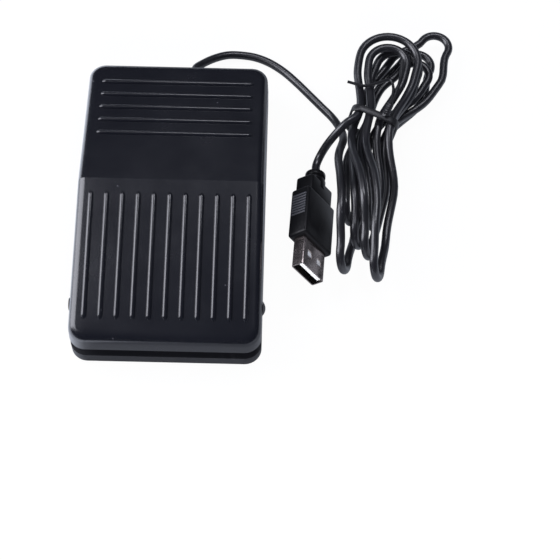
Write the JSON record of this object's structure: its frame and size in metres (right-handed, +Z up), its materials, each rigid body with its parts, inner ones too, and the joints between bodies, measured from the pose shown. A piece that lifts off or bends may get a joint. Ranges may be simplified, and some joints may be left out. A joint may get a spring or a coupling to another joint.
{
  "type": "foot pedal switch",
  "caption": "Ribbed treadle foot switch hinged on a base tray, with a snap switch and board inside and a lead wound in a tied hank to a USB plug.",
  "frame": {"origin": "on the floor, under the middle of the pedal without its lead", "axes": "+X to the right, +Y along the pedal to the end where the lead comes out, +Z up"},
  "size_m": [0.1258, 0.1282, 0.0253],
  "materials": {
    "black_abs": "moulded, fine satin grain",
    "base_abs": "moulded, matt",
    "foot_rubber": "matt",
    "dark_steel": "black oxide",
    "spring_steel": "drawn wire",
    "board_green": "solder mask",
    "screw_zinc": "zinc plated",
    "chip_black": "moulded",
    "can_nickel": "nickel plated",
    "cap_sleeve": "shrunk sleeve",
    "chip_tan": "sintered",
    "header_white": "moulded",
    "pin_brass": "tinned",
    "plunger_red": "moulded",
    "cord_pvc": "satin jacket",
    "gland_rubber": "matt",
    "core_pvc": "insulated cores",
    "tie_pvc": "coated wire",
    "plug_pvc": "moulded, satin",
    "shell_nickel": "nickel plated, stamped",
    "tongue_plastic": "moulded",
    "contact_gold": "gold plated"
  },
  "bodies": {
    "base": {"base_tray": "base_abs", "rubber_feet": "foot_rubber", "hinge_axle": "dark_steel", "axle_cap": "dark_steel", "return_springs": "spring_steel", "controller_board": "board_green", "board_screws": "screw_zinc", "controller_chip": "chip_black", "crystal_can": "can_nickel", "filter_capacitor": "cap_sleeve", "chip_resistors": "chip_tan", "core_header": "header_white", "switch_body": "chip_black", "switch_pins": "pin_brass", "cable_gland": "gland_rubber", "inner_cable": "cord_pvc", "core_wires": "core_pvc", "cable_clamp": "base_abs", "clamp_screws": "screw_zinc", "cable_lead": "cord_pvc", "cable_hank": "cord_pvc", "cable_tail": "cord_pvc", "twist_tie": "tie_pvc", "usb_grip": "plug_pvc", "usb_shell": "shell_nickel", "usb_tongue": "tongue_plastic", "usb_contacts": "contact_gold"},
    "treadle": {"treadle": "black_abs"},
    "lever": {"switch_lever": "spring_steel"},
    "plunger": {"switch_plunger": "plunger_red"}
  },
  "joints": [
    {"name": "treadle_press", "type": "hinge", "parent": "base", "child": "treadle", "pos_m": [0, -0.0375, 0.012], "axis": [-1, 0, 0], "range_deg": [0, 2.6], "stiffness_Nm_per_rad": 5, "springref_deg": -2.86, "deforming": ["return_springs"]},
    {"name": "switch_lever", "type": "hinge", "parent": "base", "child": "lever", "pos_m": [0, 0.009, 0.0159], "axis": [-1, 0, 0], "range_deg": [0, 13.5]},
    {"name": "switch_plunger", "type": "slide", "parent": "base", "child": "plunger", "axis": [0, 0, -1], "range_m": [0, 0.0011]}
  ],
  "couplings": [
    {"joint": "switch_lever", "follows": "treadle_press", "ratio": 5.135},
    {"joint": "switch_plunger", "follows": "treadle_press", "m_per_rad": 0.02351}
  ]
}
